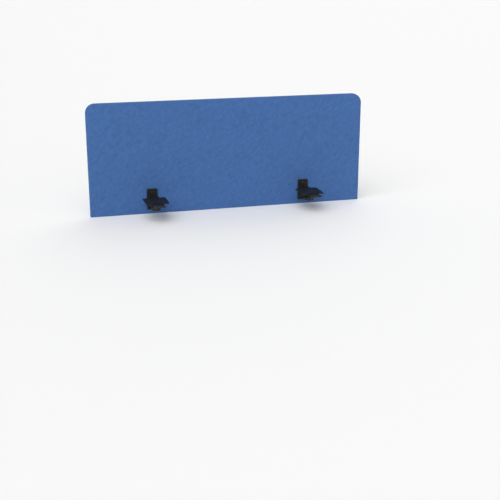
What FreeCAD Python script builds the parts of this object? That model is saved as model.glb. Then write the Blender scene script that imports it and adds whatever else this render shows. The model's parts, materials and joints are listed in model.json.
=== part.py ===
import FreeCAD, Part

import math
import os
import re

import Sketcher
from FreeCAD import Vector

# Desk privacy panel: an upholstered screen behind the rear edge of a desktop, held by two steel brackets
# whose arms slide in receivers under the desktop and are locked by star knobs.
#
# Frame: X along the desk, +Y away from the person at it, +Z up. The origin is the middle of the desktop's
# rear edge, on the desktop's underside. Lengths are in millimetres.

DIMENSIONS = [
    # alias, value, meaning
    ("desk_thickness", 25, "desktop that the brackets are made for"),
    ("desk_gap", 29, "desktop's rear edge to the screen's front face"),
    ("panel_width", 1195, "screen, side to side"),
    ("panel_height", 475, "screen, bottom to top"),
    ("panel_rise", 371, "screen's top above the desktop's top face"),
    ("corner_radius", 40, "screen's two top corners"),
    ("fabric_thickness", 1, "upholstery cloth"),
    ("foam_thickness", 3.5, "padding on each face of the board"),
    ("core_thickness", 16, "board"),
    ("closing_thickness", 1.5, "strip under the screen"),
    ("closing_screw_pitch", 280, "spacing of the strip's screws"),
    ("closing_screw_diameter", 3, "shank of the strip's screws"),
    ("closing_sink_depth", 1.4, "countersink under the strip, as deep as the screw heads"),
    ("closing_screw_length", 16, "head included"),
    ("closing_recess_span", 2.8, "cross recess in the screw heads, end to end"),
    ("closing_recess_width", 0.7, "cross recess, each slot"),
    ("closing_recess_depth", 1, "cross recess"),
    ("bracket_offset", 335, "middle of the screen to the middle of each bracket"),
    ("bracket_width", 46, "upright plate and arm"),
    ("plate_thickness", 3, "upright plate"),
    ("plate_height", 90, "upright plate"),
    ("plate_rise", 5, "upright plate's top above the desktop's top face"),
    ("plate_corner", 6, "upright plate's top corners"),
    ("arm_thickness", 4, "arm"),
    ("arm_reach", 156, "arm's end in front of the desktop's rear edge"),
    ("edge_rounding", 0.5, "edges of the bracket's plate and arm"),
    ("gusset_thickness", 4, "rib under the arm"),
    ("gusset_reach", 20, "rib along the arm"),
    ("gusset_drop", 26, "rib down the plate"),
    ("weld_radius", 2.5, "weld bead between arm and plate"),
    ("bolt_rise", 12, "upper bolt above the desktop's underside"),
    ("bolt_spacing", 57, "upper bolt to lower bolt"),
    ("bolt_diameter", 6, "bracket bolts"),
    ("bolt_length", 18, "under the head"),
    ("bolt_head_diameter", 10.5, "button head"),
    ("bolt_head_height", 3.3, "button head"),
    ("bolt_socket", 4, "hexagon socket across its flats"),
    ("bolt_clearance", 0.3, "radial, in washer, plate and bush"),
    ("thread_clearance", 0.05, "radial, between a thread and its nut"),
    ("washer_diameter", 12, "under the bolt heads"),
    ("washer_thickness", 1.6, "under the bolt heads"),
    ("bush_diameter", 14, "spacer bushes through cloth and padding"),
    ("insert_diameter", 10, "threaded inserts in the board"),
    ("insert_length", 12, "threaded inserts in the board"),
    ("base_width", 96, "receiver, ear to ear"),
    ("base_length", 100, "receiver, front to rear"),
    ("base_setback", 15, "receiver's rear edge in front of the desktop's"),
    ("base_corner", 6, "outer corners of plate and receiver"),
    ("top_plate_thickness", 2, "plate between desktop and receiver"),
    ("sheet_thickness", 2.5, "receiver's sheet steel"),
    ("bend_radius", 1.5, "receiver's folds"),
    ("channel_clearance", 0.4, "on each side of the arm"),
    ("channel_depth", 8, "inside the receiver"),
    ("slide_clearance", 0.3, "above the arm"),
    ("screw_spacing_across", 74, "desktop screw holes, along X"),
    ("screw_spacing_along", 70, "desktop screw holes, along Y"),
    ("screw_hole", 5.5, "desktop screw holes"),
    ("shoe_width", 40, "clamp shoe"),
    ("shoe_length", 50, "clamp shoe"),
    ("shoe_thickness", 2, "clamp shoe"),
    ("shoe_gap", 0.1, "arm to shoe, and shoe to stud"),
    ("shoe_socket_depth", 1, "blind socket for the stud's tip"),
    ("stud_diameter", 8, "clamp screw"),
    ("stud_tip_diameter", 6, "clamp screw's tip in the shoe"),
    ("stud_hole", 9, "receiver's hole for the clamp screw"),
    ("nut_across_flats", 13, "weld nut"),
    ("nut_height", 6.5, "weld nut"),
    ("knob_clearance", 3, "weld nut to knob, when locked"),
    ("knob_hub_diameter", 18, "star knob's neck"),
    ("knob_hub_height", 4, "star knob's neck"),
    ("knob_diameter", 42, "star knob"),
    ("knob_height", 16, "star knob's lobes"),
    ("knob_scallop_radius", 7, "finger hollows between the lobes"),
    ("knob_scallop_circle", 48, "circle through the hollows' centres"),
    ("knob_edge", 2.5, "rounding of the knob's rims"),
    ("cap_width", 50, "arm end cap"),
    ("cap_height", 7.6, "arm end cap"),
    ("cap_length", 12, "arm end cap"),
    ("cap_end_wall", 2, "in front of the arm's end"),
]
KNOB_LOBES = 6
CLOSING_SCREWS = 5
SIDES = {"left": -1, "right": 1}
SIDE_TO_FLAT = 1 / math.sqrt(3)  # half a hexagon's side, for half its width across flats
CORNER_TO_FLAT = 2 / math.sqrt(3)  # a hexagon's circumradius, for half its width across flats
HEAD_ROUNDING = 0.7  # of a bolt head's height
SOCKET_DEPTH = 0.6  # of a bolt head's height
CAP_ROUNDING = 0.7  # of the end cap's wall
NUT_CHAMFER = 0.95  # of a weld nut's width across flats: its lower face's circle
TOLERANCE = 1e-4

# Heights from the desktop's underside and distances from its rear edge, as expressions of the sheet's names.
PANEL_TOP = "(desk_thickness + panel_rise)"
PANEL_BOTTOM = f"({PANEL_TOP} - panel_height)"
FOAM_FRONT = "(desk_gap + fabric_thickness)"
CORE_FRONT = f"({FOAM_FRONT} + foam_thickness)"
CORE_BACK = f"({CORE_FRONT} + core_thickness)"
FABRIC_BACK = f"({CORE_BACK} + foam_thickness)"
CORE_MIDDLE = f"({CORE_FRONT} + core_thickness / 2)"
PLATE_FRONT = "(desk_gap - plate_thickness)"
PLATE_TOP = "(desk_thickness + plate_rise)"
PLATE_BOTTOM = f"({PLATE_TOP} - plate_height)"
WASHER_FRONT = f"({PLATE_FRONT} - washer_thickness)"
LOWER_BOLT = "(bolt_rise - bolt_spacing)"
ARM_TOP = "(0 - top_plate_thickness - slide_clearance)"
ARM_BOTTOM = f"({ARM_TOP} - arm_thickness)"
SHOE_TOP = f"({ARM_BOTTOM} - shoe_gap)"
SHOE_BOTTOM = f"({SHOE_TOP} - shoe_thickness)"
WEB_TOP = "(0 - top_plate_thickness - channel_depth)"
WEB_BOTTOM = f"({WEB_TOP} - sheet_thickness)"
NUT_BOTTOM = f"({WEB_BOTTOM} - nut_height)"
HUB_TOP = f"({NUT_BOTTOM} - knob_clearance)"
KNOB_TOP = f"({HUB_TOP} - knob_hub_height)"
BASE_REAR = "(0 - base_setback)"
BASE_FRONT = f"({BASE_REAR} - base_length)"
BASE_MIDDLE = f"({BASE_REAR} - base_length / 2)"

doc = FreeCAD.newDocument("DeskPrivacyPanel")
sheet = doc.addObject("Spreadsheet::Sheet", "Dims")
for row, (alias, value, meaning) in enumerate(DIMENSIONS, start=1):
    sheet.set(f"A{row}", alias)
    sheet.set(f"B{row}", str(value))
    sheet.setAlias(f"B{row}", alias)
    sheet.set(f"C{row}", meaning)
doc.recompute()

nodes = []


def expression(text):
    """The text with every name in it read from the sheet."""
    return re.sub(r"[a-z][a-z_]*", r"Dims.\g<0>", text)


def value_of(text):
    """What an expression comes to, in millimetres."""
    result = sheet.evalExpression(expression(text))
    return float(getattr(result, "Value", result))


def bind(thing, target, text):
    """Ties a property or a constraint to the sheet."""
    thing.setExpression(target, expression(text))


def near(a, b):
    return abs(a - b) < TOLERANCE


# Sketch helpers


def new_body(label, x="0", z="0"):
    """An empty body with its own place along X and Z."""
    body = doc.addObject("PartDesign::Body", label)
    body.Label = label
    body.AllowCompound = True
    bind(body, "Placement.Base.x", x)
    bind(body, "Placement.Base.z", z)
    nodes.append(body)
    return body


def new_sketch(body, name, plane, offset="0"):
    """A sketch on one of the body's origin planes, moved along the plane's normal."""
    sketch = body.newObject("Sketcher::SketchObject", f"{body.Name}_{name}")
    support = next(f for f in body.Origin.OriginFeatures if f.Role == plane)
    sketch.AttachmentSupport = [(support, "")]
    sketch.MapMode = "FlatFace"
    bind(sketch, "AttachmentOffset.Base.z", offset)
    return sketch


def upright_sketch(body, name, y):
    """A sketch in an upright plane across the desk at the distance y: it reads X and Z, and faces -Y."""
    return new_sketch(body, name, "XZ_Plane", f"0 - {y}")


def level_sketch(body, name, z):
    """A sketch in a level plane at the height z: it reads X and Y, and faces +Z."""
    return new_sketch(body, name, "XY_Plane", z)


def constrain(sketch, kind, *arguments, size=None):
    """Adds a constraint, tied to the sheet if it has a size."""
    if size is None:
        sketch.addConstraint(Sketcher.Constraint(kind, *arguments))
        return
    index = sketch.addConstraint(Sketcher.Constraint(kind, *arguments, value_of(size)))
    bind(sketch, f"Constraints[{index}]", size)


def pin_along(sketch, kind, axis, geometry, point, text):
    """Places a sketch point by one signed distance from the sketch's origin."""
    distance = value_of(text)
    if near(distance, 0):
        constrain(sketch, "PointOnObject", geometry, point, axis)
    elif distance > 0:
        constrain(sketch, kind, -1, 1, geometry, point, size=text)
    else:
        constrain(sketch, kind, geometry, point, -1, 1, size=f"0 - {text}")


def pin_height(sketch, geometry, point, y):
    """Places a sketch point by its height above the sketch's level axis."""
    pin_along(sketch, "DistanceY", -1, geometry, point, y)


def pin_point(sketch, geometry, point, x, y):
    """Places a sketch point by its two distances from the sketch's origin."""
    pin_along(sketch, "DistanceX", -2, geometry, point, x)
    pin_height(sketch, geometry, point, y)


def polygon(sketch, corners):
    """A closed outline of straight lines through corners given as pairs of expressions."""
    points = [Vector(value_of(x), value_of(y), 0) for x, y in corners]
    first = sketch.GeometryCount
    for start, end in zip(points, points[1:] + points[:1]):
        sketch.addGeometry(Part.LineSegment(start, end), False)
    for index, (x, y) in enumerate(corners):
        previous = first + (index - 1) % len(corners)
        constrain(sketch, "Coincident", previous, 2, first + index, 1)
        pin_point(sketch, first + index, 1, x, y)


def rectangle(sketch, width, bottom, top):
    """A rectangle that is symmetric about the sketch's upright axis."""
    half = f"({width}) / 2"
    left = f"(0 - {half})"
    polygon(sketch, [(left, bottom), (half, bottom), (half, top), (left, top)])


def circle(sketch, x, y, diameter):
    """A circle placed by its centre."""
    centre = Vector(value_of(x), value_of(y), 0)
    index = sketch.addGeometry(Part.Circle(centre, Vector(0, 0, 1), value_of(diameter) / 2), False)
    pin_point(sketch, index, 3, x, y)
    constrain(sketch, "Diameter", index, size=diameter)


def regular_hexagon(sketch, x, y, across_flats):
    """A hexagon with two level sides."""
    half = f"({across_flats}) / 2"
    long_step = f"{half} * {CORNER_TO_FLAT:.7f}"
    short_step = f"{half} * {SIDE_TO_FLAT:.7f}"
    steps = [
        (f"+ {long_step}", "+ 0"),
        (f"+ {short_step}", f"+ {half}"),
        (f"- {short_step}", f"+ {half}"),
        (f"- {long_step}", "+ 0"),
        (f"- {short_step}", f"- {half}"),
        (f"+ {short_step}", f"- {half}"),
    ]
    polygon(sketch, [(f"({x} {dx})", f"({y} {dy})") for dx, dy in steps])


def arched_outline(sketch, width, bottom, top, radius):
    """A rectangle with square lower corners and two rounded upper ones, symmetric about the upright axis."""
    w, b, t, r = value_of(width) / 2, value_of(bottom), value_of(top), value_of(radius)
    quarter = math.pi / 2
    normal = Vector(0, 0, 1)
    sketch.addGeometry(
        [
            Part.LineSegment(Vector(-w, b, 0), Vector(w, b, 0)),
            Part.LineSegment(Vector(w, b, 0), Vector(w, t - r, 0)),
            Part.ArcOfCircle(Part.Circle(Vector(w - r, t - r, 0), normal, r), 0, quarter),
            Part.LineSegment(Vector(w - r, t, 0), Vector(r - w, t, 0)),
            Part.ArcOfCircle(Part.Circle(Vector(r - w, t - r, 0), normal, r), quarter, 2 * quarter),
            Part.LineSegment(Vector(-w, t - r, 0), Vector(-w, b, 0)),
        ],
        False,
    )
    constrain(sketch, "Coincident", 0, 2, 1, 1)
    constrain(sketch, "Coincident", 5, 2, 0, 1)
    for before, after in ((1, 2), (2, 3), (3, 4), (4, 5)):
        constrain(sketch, "Tangent", before, 2, after, 1)
    constrain(sketch, "Vertical", 1)
    constrain(sketch, "Horizontal", 3)
    constrain(sketch, "Vertical", 5)
    constrain(sketch, "Symmetric", 0, 1, 0, 2, -2)
    constrain(sketch, "Equal", 2, 4)
    constrain(sketch, "Radius", 2, size=radius)
    constrain(sketch, "DistanceX", 0, 1, 0, 2, size=width)
    pin_height(sketch, 0, 1, bottom)
    constrain(sketch, "DistanceY", 0, 1, 3, 1, size=f"{top} - {bottom}")


# Feature helpers


def check(thing):
    """Stops the build if an object failed to compute."""
    if {"Invalid", "Error"} & set(thing.State):
        raise RuntimeError(f"{thing.Name} did not compute: {thing.State}")


def pad(body, sketch, length, along_normal=True, middle=False):
    """Thickens a sketch along its normal, against it, or both ways from it."""
    feature = body.newObject("PartDesign::Pad", f"{sketch.Name}_pad")
    feature.Profile = sketch
    feature.Reversed = not along_normal
    if middle:
        feature.SideType = "Symmetric"
    bind(feature, "Length", length)
    sketch.Visibility = False
    doc.recompute()
    return feature


def pocket(body, sketch, depth=None, along_normal=True):
    """Cuts a sketch into the body, through everything if no depth is given."""
    before = body.Shape.Volume
    feature = body.newObject("PartDesign::Pocket", f"{sketch.Name}_pocket")
    feature.Profile = sketch
    feature.Reversed = along_normal
    if depth is None:
        feature.Type = "ThroughAll"
        feature.SideType = "Symmetric"
    else:
        bind(feature, "Length", depth)
    sketch.Visibility = False
    doc.recompute()
    if body.Shape.Volume > before - TOLERANCE:
        raise RuntimeError(f"{feature.Name} cuts nothing")
    return feature


def edges_where(feature, test):
    """The names of the feature's edges that pass a test."""
    return [f"Edge{n}" for n, edge in enumerate(feature.Shape.Edges, start=1) if test(edge)]


def dress(body, kind, feature, size, test):
    """Rounds or bevels the edges of a feature that pass a test."""
    names = edges_where(feature, test)
    if not names:
        raise RuntimeError(f"no edges of {feature.Name} to dress")
    dressed = body.newObject(f"PartDesign::{kind}", f"{feature.Name}_{kind.lower()}")
    dressed.Base = (feature, names)
    bind(dressed, "Radius" if kind == "Fillet" else "Size", size)
    doc.recompute()
    check(dressed)
    return dressed


def runs_along(edge, axis):
    """Whether an edge is straight and parallel to an axis, 0 for X, 1 for Y and 2 for Z."""
    if not isinstance(edge.Curve, Part.Line):
        return False
    return near(abs(edge.Curve.Direction[axis]), 1)


def middle_of(edge):
    return edge.BoundBox.Center


def is_round_at(edge, axis, height, radius):
    """Whether an edge is an arc or circle of a radius in the plane where the axis has a height."""
    curve = edge.Curve
    if not isinstance(curve, Part.Circle):
        return False
    return near(curve.Radius, radius) and near(middle_of(edge)[axis], height)


# The screen


def screen_layer(label, front, thickness, inset, bottom):
    """One flat layer of the screen, its outline set in from the screen's own by an inset."""
    body = new_body(label)
    sketch = upright_sketch(body, "outline", front)
    arched_outline(
        sketch,
        f"(panel_width - 2 * {inset})",
        f"({PANEL_BOTTOM} + {bottom})",
        f"({PANEL_TOP} - {inset})",
        f"(corner_radius - {inset})",
    )
    pad(body, sketch, thickness, along_normal=False)
    return body


def bracket_points():
    """The four bolt positions as pairs of expressions for X and Z."""
    heights = ("bolt_rise", LOWER_BOLT)
    return [(f"({sign} * bracket_offset)", height) for sign in SIDES.values() for height in heights]


def cut_bolt_holes(body, front, diameter, depth=None):
    """Holes on the four bolt axes, from the plane at a distance to a depth behind it."""
    sketch = upright_sketch(body, "bolt_holes", front)
    for x, z in bracket_points():
        circle(sketch, x, z, diameter)
    pocket(body, sketch, depth, along_normal=False)


def closing_screw_places():
    """X of each closing screw, evenly spaced about the middle."""
    middle = (CLOSING_SCREWS - 1) / 2
    return [f"({index - middle} * closing_screw_pitch)" for index in range(CLOSING_SCREWS)]


def make_core_board():
    """The board, with blind holes for the inserts and pilot holes for the closing strip's screws."""
    body = screen_layer("core_board", CORE_FRONT, "core_thickness", "fabric_thickness", "closing_thickness")
    cut_bolt_holes(body, CORE_FRONT, "insert_diameter", "insert_length")
    sketch = level_sketch(body, "pilot_holes", f"{PANEL_BOTTOM} + closing_thickness")
    for x in closing_screw_places():
        circle(sketch, x, CORE_MIDDLE, "closing_screw_diameter + 2 * thread_clearance")
    pocket(body, sketch, "closing_screw_length", along_normal=True)


def make_foam():
    front = screen_layer("foam_front", FOAM_FRONT, "foam_thickness", "fabric_thickness", "fabric_thickness")
    cut_bolt_holes(front, FOAM_FRONT, "bush_diameter")
    screen_layer("foam_back", CORE_BACK, "foam_thickness", "fabric_thickness", "fabric_thickness")


def make_fabric():
    """The two faces, and the strip between them round the sides and the top."""
    front = screen_layer("fabric_front", "desk_gap", "fabric_thickness", "0", "0")
    cut_bolt_holes(front, "desk_gap", "bush_diameter")
    screen_layer("fabric_back", FABRIC_BACK, "fabric_thickness", "0", "0")
    strip = screen_layer("fabric_edge_strip", FOAM_FRONT, "core_thickness + 2 * foam_thickness", "0", "0")
    inside = upright_sketch(strip, "inside", FOAM_FRONT)
    arched_outline(
        inside,
        "(panel_width - 2 * fabric_thickness)",
        f"({PANEL_BOTTOM} - closing_thickness)",
        f"({PANEL_TOP} - fabric_thickness)",
        "(corner_radius - fabric_thickness)",
    )
    pocket(strip, inside)


def make_closing_strip():
    """The strip under the board, over the cloth's turned-in edges, countersunk for its screws."""
    strip = new_body("closing_strip", z=PANEL_BOTTOM)
    outline = level_sketch(strip, "outline", "0")
    rectangle(outline, "(panel_width - 2 * (fabric_thickness + foam_thickness))", CORE_FRONT, CORE_BACK)
    pad(strip, outline, "closing_thickness")
    holes = level_sketch(strip, "screw_holes", "0")
    for x in closing_screw_places():
        circle(holes, x, CORE_MIDDLE, "closing_screw_diameter + 2 * thread_clearance")
    through = pocket(strip, holes, along_normal=True)
    rim = value_of("closing_screw_diameter / 2 + thread_clearance")
    dress(strip, "Chamfer", through, "closing_sink_depth", lambda e: is_round_at(e, 2, 0, rim))


def recess_slot(name, along, across):
    """One slot of a cross recess, about the screw's axis."""
    slot = doc.addObject("Part::Box", name)
    bind(slot, "Length", along)
    bind(slot, "Width", across)
    bind(slot, "Height", "closing_recess_depth")
    bind(slot, "Placement.Base.x", f"0 - {along} / 2")
    bind(slot, "Placement.Base.y", f"0 - {across} / 2")
    return slot


def closing_screw(index):
    """A countersunk screw with a cross recess: a cone and a shank, less two slots."""
    head = doc.addObject("Part::Cone", f"closing_screw_head_{index}")
    bind(head, "Radius1", "closing_screw_diameter / 2 + closing_sink_depth")
    bind(head, "Radius2", "closing_screw_diameter / 2")
    bind(head, "Height", "closing_sink_depth")
    shank = doc.addObject("Part::Cylinder", f"closing_screw_shank_{index}")
    bind(shank, "Radius", "closing_screw_diameter / 2")
    bind(shank, "Height", "closing_screw_length")
    blank = doc.addObject("Part::Fuse", f"closing_screw_blank_{index}")
    blank.Base = head
    blank.Tool = shank
    recess = doc.addObject("Part::Fuse", f"closing_screw_recess_{index}")
    recess.Base = recess_slot(f"recess_across_{index}", "closing_recess_span", "closing_recess_width")
    recess.Tool = recess_slot(f"recess_along_{index}", "closing_recess_width", "closing_recess_span")
    screw = doc.addObject("Part::Cut", f"closing_screw_{index}")
    screw.Base = blank
    screw.Tool = recess
    return screw


def make_closing_screws():
    """The strip's screws, all in one group."""
    screws = []
    for index, x in enumerate(closing_screw_places()):
        screw = closing_screw(index)
        bind(screw, "Placement.Base.x", x)
        bind(screw, "Placement.Base.y", CORE_MIDDLE)
        bind(screw, "Placement.Base.z", PANEL_BOTTOM)
        screws.append(screw)
    group = doc.addObject("Part::Compound", "closing_strip_screws")
    group.Label = "closing_strip_screws"
    group.Links = screws
    nodes.append(group)


# The brackets: each side is made about its own centre plane and moved along X by bracket_offset.


def side_body(name, side):
    return new_body(f"{name}_{side}", x=f"{SIDES[side]} * bracket_offset")


def bolt_axes(sketch, *diameters):
    """Circles on the two bolt axes of one side."""
    for z in ("bolt_rise", LOWER_BOLT):
        for diameter in diameters:
            circle(sketch, "0", z, diameter)


def make_bracket(side):
    """Upright plate, arm and gusset, welded into one piece."""
    body = side_body("bracket", side)
    plate = upright_sketch(body, "plate", "desk_gap")
    arched_outline(plate, "bracket_width", PLATE_BOTTOM, PLATE_TOP, "plate_corner")
    pad(body, plate, "plate_thickness")
    arm = level_sketch(body, "arm", ARM_BOTTOM)
    rectangle(arm, "bracket_width", "(0 - arm_reach)", PLATE_FRONT)
    pad(body, arm, "arm_thickness")
    gusset = new_sketch(body, "gusset", "YZ_Plane")
    foot = f"({PLATE_FRONT} - gusset_reach)"
    drop = f"({ARM_BOTTOM} - gusset_drop)"
    polygon(gusset, [(foot, ARM_BOTTOM), (PLATE_FRONT, drop), (PLATE_FRONT, ARM_BOTTOM)])
    pad(body, gusset, "gusset_thickness", middle=True)
    holes = upright_sketch(body, "bolt_holes", PLATE_FRONT)
    bolt_axes(holes, "bolt_diameter + 2 * bolt_clearance")
    drilled = pocket(body, holes, "plate_thickness", along_normal=False)
    front, half_width = value_of(PLATE_FRONT), value_of("bracket_width / 2")
    arm_levels = (value_of(ARM_TOP), value_of(ARM_BOTTOM))
    plate_levels = (value_of(PLATE_TOP), value_of(PLATE_BOTTOM))

    def is_level_with(edge, levels):
        return any(near(middle_of(edge).z, z) for z in levels)

    def is_weld(edge):
        return runs_along(edge, 0) and near(middle_of(edge).y, front) and is_level_with(edge, arm_levels)

    def is_rounded(edge):
        place = middle_of(edge)
        if runs_along(edge, 1):
            return is_level_with(edge, arm_levels) and near(abs(place.x), half_width)
        is_outline = abs(place.x) > half_width / 2 or is_level_with(edge, plate_levels)
        return near(place.y, front) and is_outline

    welded = dress(body, "Fillet", drilled, "weld_radius", is_weld)
    dress(body, "Fillet", welded, "edge_rounding", is_rounded)


def make_bolts(side):
    """Two button-head bolts with hexagon sockets."""
    body = side_body("bracket_bolts", side)
    heads = upright_sketch(body, "heads", WASHER_FRONT)
    bolt_axes(heads, "bolt_head_diameter")
    head = pad(body, heads, "bolt_head_height")
    crown, rim = value_of(f"{WASHER_FRONT} - bolt_head_height"), value_of("bolt_head_diameter / 2")
    rounding = f"bolt_head_height * {HEAD_ROUNDING}"
    dress(body, "Fillet", head, rounding, lambda e: is_round_at(e, 1, crown, rim))
    shanks = upright_sketch(body, "shanks", WASHER_FRONT)
    bolt_axes(shanks, "bolt_diameter")
    pad(body, shanks, "bolt_length", along_normal=False)
    sockets = upright_sketch(body, "sockets", f"({WASHER_FRONT} - bolt_head_height)")
    for z in ("bolt_rise", LOWER_BOLT):
        regular_hexagon(sockets, "0", z, "bolt_socket")
    pocket(body, sockets, f"bolt_head_height * {SOCKET_DEPTH}", along_normal=False)


def make_rings(name, side, front, length, outer, inner):
    """A pair of plain rings on the bolt axes, such as washers, bushes or inserts."""
    body = side_body(name, side)
    sketch = upright_sketch(body, "rings", front)
    bolt_axes(sketch, outer, inner)
    pad(body, sketch, length, along_normal=False)


def make_bolt_set(side):
    make_bolts(side)
    clear = "(bolt_diameter + 2 * bolt_clearance)"
    threaded = "(bolt_diameter + 2 * thread_clearance)"
    make_rings("bolt_washers", side, WASHER_FRONT, "washer_thickness", "washer_diameter", clear)
    through_padding = "fabric_thickness + foam_thickness"
    make_rings("spacer_bushes", side, "desk_gap", through_padding, "bush_diameter", clear)
    make_rings("threaded_inserts", side, CORE_FRONT, "insert_length", "insert_diameter", threaded)


def make_end_cap(side):
    """Plastic cap over the arm's front end, wider and taller than the receiver's mouth."""
    body = side_body("arm_end_cap", side)
    centre = f"({ARM_TOP} - arm_thickness / 2)"
    block = upright_sketch(body, "block", "(0 - arm_reach - cap_end_wall)")
    rectangle(block, "cap_width", f"({centre} - cap_height / 2)", f"({centre} + cap_height / 2)")
    solid = pad(body, block, "cap_length", along_normal=False)
    end = value_of("0 - arm_reach - cap_end_wall")
    rounding = f"cap_end_wall * {CAP_ROUNDING}"
    dress(body, "Fillet", solid, rounding, lambda e: runs_along(e, 1) or near(middle_of(e).y, end))
    socket = upright_sketch(body, "socket", "(0 - arm_reach)")
    rectangle(socket, "bracket_width", ARM_BOTTOM, ARM_TOP)
    pocket(body, socket, "cap_length", along_normal=False)


# The desk side


def screw_holes(body, z):
    """The four desktop screw holes, cut through a plate or receiver."""
    sketch = level_sketch(body, "screw_holes", z)
    for across in (-1, 1):
        for along in (-1, 1):
            x = f"({across} * screw_spacing_across / 2)"
            y = f"({BASE_MIDDLE} + {along} * screw_spacing_along / 2)"
            circle(sketch, x, y, "screw_hole")
    return sketch


def is_outer_corner(edge):
    """Whether an edge is one of the upright corners of the receiver's or the top plate's outline."""
    return runs_along(edge, 2) and near(abs(middle_of(edge).x), value_of("base_width / 2"))


def make_top_plate(side):
    body = side_body("top_plate", side)
    outline = level_sketch(body, "outline", "0 - top_plate_thickness")
    rectangle(outline, "base_width", BASE_FRONT, BASE_REAR)
    plate = pad(body, outline, "top_plate_thickness")
    dress(body, "Fillet", plate, "base_corner", is_outer_corner)
    pocket(body, screw_holes(body, "0"))


def make_receiver(side):
    """Hat channel folded from one sheet: two ears against the top plate and a channel for the arm."""
    body = side_body("receiver", side)
    profile = upright_sketch(body, "profile", BASE_FRONT)
    ear_top = "(0 - top_plate_thickness)"
    ear_bottom = f"({ear_top} - sheet_thickness)"
    inner = "(bracket_width / 2 + channel_clearance)"
    outer = f"({inner} + sheet_thickness)"
    ear = "(base_width / 2)"
    right = [(inner, ear_top), (ear, ear_top), (ear, ear_bottom), (outer, ear_bottom), (outer, WEB_BOTTOM)]
    left = [(f"(0 - {x})", z) for x, z in reversed(right)]
    polygon(profile, [(inner, WEB_TOP), *right, *left, (f"(0 - {inner})", WEB_TOP)])
    channel = pad(body, profile, "base_length", along_normal=False)
    inside, outside = value_of(inner), value_of(outer)
    levels = {inside: value_of(ear_top), outside: value_of(WEB_BOTTOM)}

    def is_outside_bend(edge):
        place = middle_of(edge)
        return runs_along(edge, 1) and any(
            near(abs(place.x), x) and near(place.z, z) for x, z in levels.items()
        )

    bent = dress(body, "Fillet", channel, "bend_radius", is_outside_bend)
    dress(body, "Fillet", bent, "base_corner", is_outer_corner)
    pocket(body, screw_holes(body, ear_top))
    hole = level_sketch(body, "stud_hole", WEB_TOP)
    circle(hole, "0", BASE_MIDDLE, "stud_hole")
    pocket(body, hole, "sheet_thickness", along_normal=False)


def make_weld_nut(side):
    """Hexagon nut under the receiver's web, its lower corners bevelled, threaded for the clamp screw."""
    prism = doc.addObject("Part::Prism", f"nut_prism_{side}")
    prism.Polygon = 6
    bind(prism, "Circumradius", f"nut_across_flats / 2 * {CORNER_TO_FLAT:.7f}")
    bind(prism, "Height", "nut_height")
    bevel = doc.addObject("Part::Cone", f"nut_bevel_{side}")
    bind(bevel, "Radius1", f"nut_across_flats / 2 * {NUT_CHAMFER}")
    bind(bevel, "Radius2", f"nut_across_flats / 2 * {NUT_CHAMFER} + nut_height / {SIDE_TO_FLAT:.7f}")
    bind(bevel, "Height", "nut_height")
    blank = doc.addObject("Part::Common", f"nut_blank_{side}")
    blank.Base = prism
    blank.Tool = bevel
    thread = doc.addObject("Part::Cylinder", f"nut_thread_{side}")
    bind(thread, "Radius", "stud_diameter / 2 + thread_clearance")
    bind(thread, "Height", "nut_height")
    nut = doc.addObject("Part::Cut", f"weld_nut_{side}")
    nut.Label = f"weld_nut_{side}"
    nut.Base = blank
    nut.Tool = thread
    bind(nut, "Placement.Base.x", f"{SIDES[side]} * bracket_offset")
    bind(nut, "Placement.Base.y", BASE_MIDDLE)
    bind(nut, "Placement.Base.z", NUT_BOTTOM)
    nodes.append(nut)


def make_clamp_shoe(side):
    """Plate between the clamp screw and the arm, with a blind socket for the screw's tip."""
    body = side_body("clamp_shoe", side)
    outline = level_sketch(body, "outline", SHOE_BOTTOM)
    front, rear = f"({BASE_MIDDLE} - shoe_length / 2)", f"({BASE_MIDDLE} + shoe_length / 2)"
    rectangle(outline, "shoe_width", front, rear)
    plate = pad(body, outline, "shoe_thickness")
    dress(body, "Fillet", plate, "base_corner", lambda e: runs_along(e, 2))
    socket = level_sketch(body, "socket", SHOE_BOTTOM)
    circle(socket, "0", BASE_MIDDLE, "stud_tip_diameter + 2 * thread_clearance")
    pocket(body, socket, "shoe_socket_depth", along_normal=True)


def make_clamp_stud(side):
    """Stud from the shoe, through the nut, into the knob."""
    body = side_body("clamp_stud", side)
    knob_middle = f"({KNOB_TOP} - knob_height / 2)"
    shoulder = f"({SHOE_BOTTOM} - shoe_gap)"
    shank = level_sketch(body, "shank", knob_middle)
    circle(shank, "0", BASE_MIDDLE, "stud_diameter")
    rod = pad(body, shank, f"{shoulder} - {knob_middle}")
    top, rim = value_of(shoulder), value_of("stud_diameter / 2")
    bevel = "(stud_diameter - stud_tip_diameter) / 4"
    dress(body, "Chamfer", rod, bevel, lambda e: is_round_at(e, 2, top, rim))
    tip = level_sketch(body, "tip", shoulder)
    circle(tip, "0", BASE_MIDDLE, "stud_tip_diameter")
    pad(body, tip, "shoe_socket_depth")


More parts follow.
